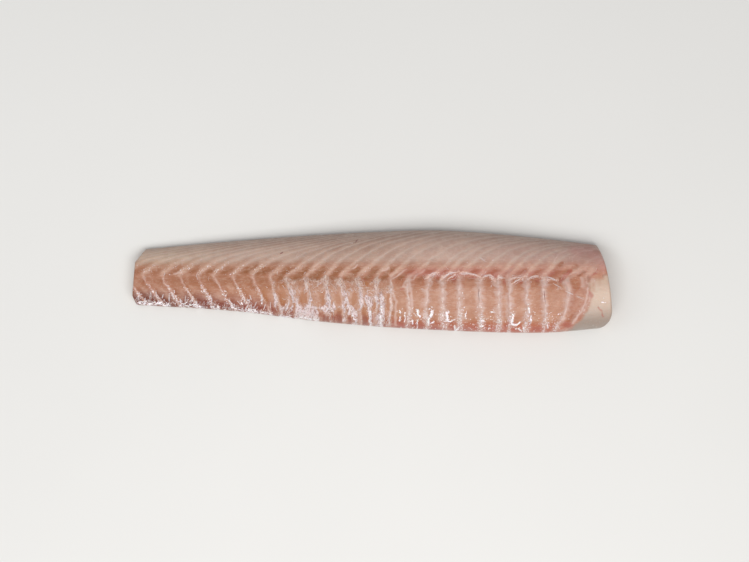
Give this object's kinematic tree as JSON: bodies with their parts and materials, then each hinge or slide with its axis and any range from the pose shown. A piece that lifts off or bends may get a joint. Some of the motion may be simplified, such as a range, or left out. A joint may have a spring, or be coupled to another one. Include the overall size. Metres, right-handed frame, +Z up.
{
  "type": "cod fillet",
  "caption": "Raw skinless cod fillet, long and tapered, cut square at both ends, with chevron flakes on its bone side and a flat underside to lie on.",
  "frame": {"origin": "middle of the fillet's plan, on the flat underside that lies on the board", "axes": "+X along the fillet from the tail cut to the head cut, +Y across it from the trimmed belly edge to the rounded back, +Z up out of the bone side"},
  "size_m": [0.36, 0.0774, 0.0296],
  "materials": {
    "flesh": "wet raw white fish, pale grey-pink along the back, amber between white septa on the belly side, satin with small wet glints"
  },
  "bodies": {
    "root": {"cod_fillet": "flesh"}
  },
  "joints": []
}
